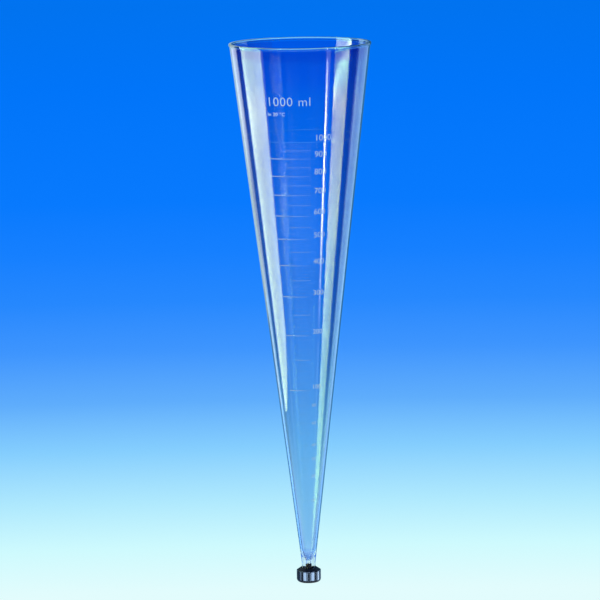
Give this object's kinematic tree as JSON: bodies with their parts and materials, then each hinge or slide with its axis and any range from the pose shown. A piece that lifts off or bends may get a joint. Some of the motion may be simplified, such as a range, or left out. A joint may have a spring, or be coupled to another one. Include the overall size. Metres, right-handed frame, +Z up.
{
  "type": "imhoff cone",
  "caption": "Tall clear settling cone with a graduated side, a rim bead and a black screw cap closing the drain bore at its tip.",
  "frame": {"origin": "centre of the screw cap's flat underside, on the cone's axis", "axes": "+Z up the cone's axis to the mouth, -Y towards the graduated side"},
  "size_m": [0.1214, 0.1214, 0.4695],
  "materials": {
    "clear_plastic": "gloss",
    "black_plastic": "gloss",
    "black_seal": "satin"
  },
  "bodies": {
    "cone": {"cone": "clear_plastic"},
    "seal": {"plug_seal": "black_seal"},
    "cap": {"screw_cap": "black_plastic"}
  },
  "joints": [
    {"name": "cap_travel", "type": "slide", "parent": "cone", "child": "seal", "axis": [0, 0, -1], "range_m": [0, 0.00688]},
    {"name": "cap_turn", "type": "hinge", "parent": "seal", "child": "cap", "pos_m": [0, 0, 0.006], "axis": [0, 0, -1], "range_deg": [0, 990]}
  ],
  "couplings": [
    {"joint": "cap_travel", "follows": "cap_turn", "m_per_rad": 0.00039789}
  ]
}
